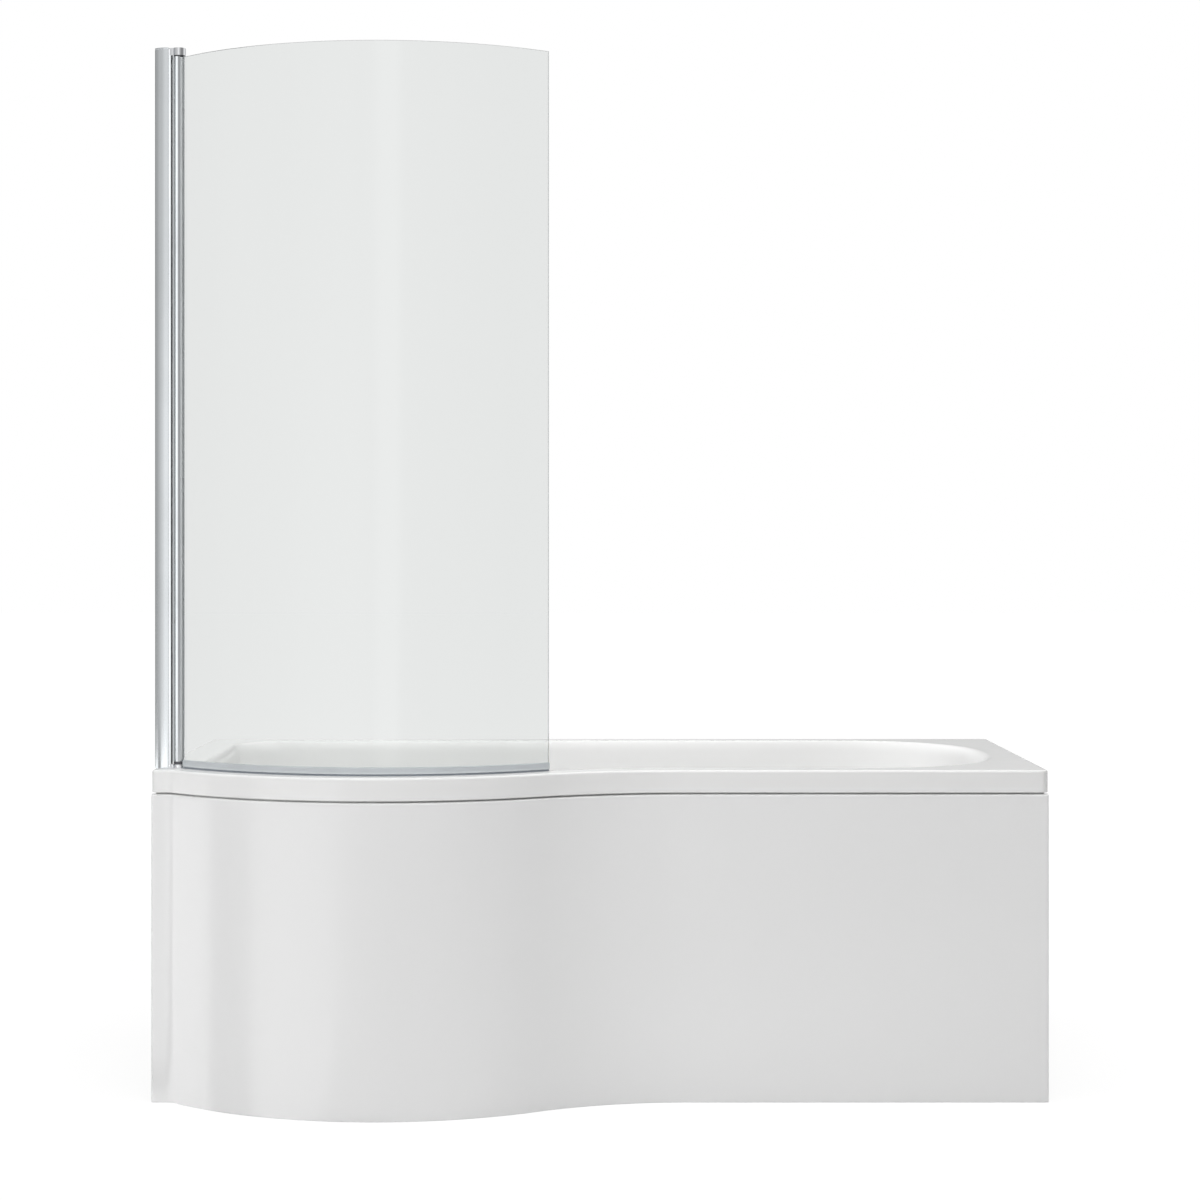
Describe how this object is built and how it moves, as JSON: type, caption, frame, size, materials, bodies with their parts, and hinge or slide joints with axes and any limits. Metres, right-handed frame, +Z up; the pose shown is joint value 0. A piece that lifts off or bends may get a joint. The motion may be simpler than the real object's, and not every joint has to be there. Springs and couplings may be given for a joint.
{
  "type": "p shaped shower bath",
  "caption": "P-shaped shower bath with a bowed front panel, a curved glass screen hinged at the end wall, a leg set, wall brackets, a click waste and an overflow.",
  "frame": {"origin": "centre of the footprint box on the floor, Z = 0 under the feet and the front panel", "axes": "+Z up; +Y towards the back wall; -Y out of the bowed front; -X towards the end wall that carries the screen"},
  "size_m": [1.675, 0.85, 1.975],
  "materials": {
    "acrylic": "high gloss white",
    "panel_acrylic": "high gloss white",
    "timber": "sawn",
    "zinc_steel": "zinc plated",
    "pad_plastic": "moulded",
    "black_plastic": "moulded",
    "chrome_trim": "polished",
    "polished_profile": "polished silver",
    "black_rubber": "satin",
    "seal_lip_rubber": "satin grey",
    "grey_gasket": "translucent grey",
    "clear_seal": "clear, blue-grey",
    "clear_glass": "clear toughened"
  },
  "bodies": {
    "bath": {"bath_shell": "acrylic", "base_board": "timber", "batten_back": "timber", "batten_front": "timber", "batten_foot": "timber", "batten_head": "timber", "leg_bar_foot": "zinc_steel", "leg_bar_mid": "zinc_steel", "leg_bar_head": "zinc_steel", "leg_studs_foot": "zinc_steel", "leg_studs_mid": "zinc_steel", "leg_studs_head": "zinc_steel", "leg_nuts_foot": "zinc_steel", "leg_nuts_mid": "zinc_steel", "leg_nuts_head": "zinc_steel", "leg_pads_foot": "pad_plastic", "leg_pads_mid": "pad_plastic", "leg_pads_head": "pad_plastic", "leg_screws": "zinc_steel", "wall_bracket_1": "zinc_steel", "wall_bracket_2": "zinc_steel", "wall_bracket_3": "zinc_steel", "bracket_screws": "zinc_steel", "front_panel": "panel_acrylic", "panel_clips": "zinc_steel", "floor_batten": "timber", "waste_flange": "chrome_trim", "waste_gasket": "black_rubber", "waste_washer": "black_rubber", "waste_body": "black_plastic", "overflow_cover": "chrome_trim", "overflow_gasket": "black_rubber", "overflow_elbow": "black_plastic", "overflow_washer": "black_rubber", "overflow_hose": "black_plastic", "hose_nut_top": "black_plastic", "hose_nut_low": "black_plastic", "wall_channel": "polished_profile", "channel_cap": "polished_profile", "adjust_profile": "polished_profile", "fixing_screws": "chrome_trim", "hinge_block_top": "polished_profile", "hinge_block_low": "polished_profile", "gap_seal": "black_rubber"},
    "plug": {"waste_plug": "chrome_trim", "plug_stem": "chrome_trim", "plug_seal": "black_rubber"},
    "screen": {"hinge_tube": "polished_profile", "hinge_bush_top": "black_plastic", "hinge_bush_low": "black_plastic", "glass_gasket": "grey_gasket", "glass_pane": "clear_glass", "seal_clip": "clear_seal", "seal_lip": "seal_lip_rubber"}
  },
  "joints": [
    {"name": "screen_hinge", "type": "hinge", "parent": "bath", "child": "screen", "pos_m": [-0.792, -0.23374, 0.62], "axis": [0, 0, 1], "range_deg": [-60, 68]},
    {"name": "plug_lift", "type": "slide", "parent": "bath", "child": "plug", "axis": [0, 0, 1], "range_m": [0, 0.008]}
  ]
}
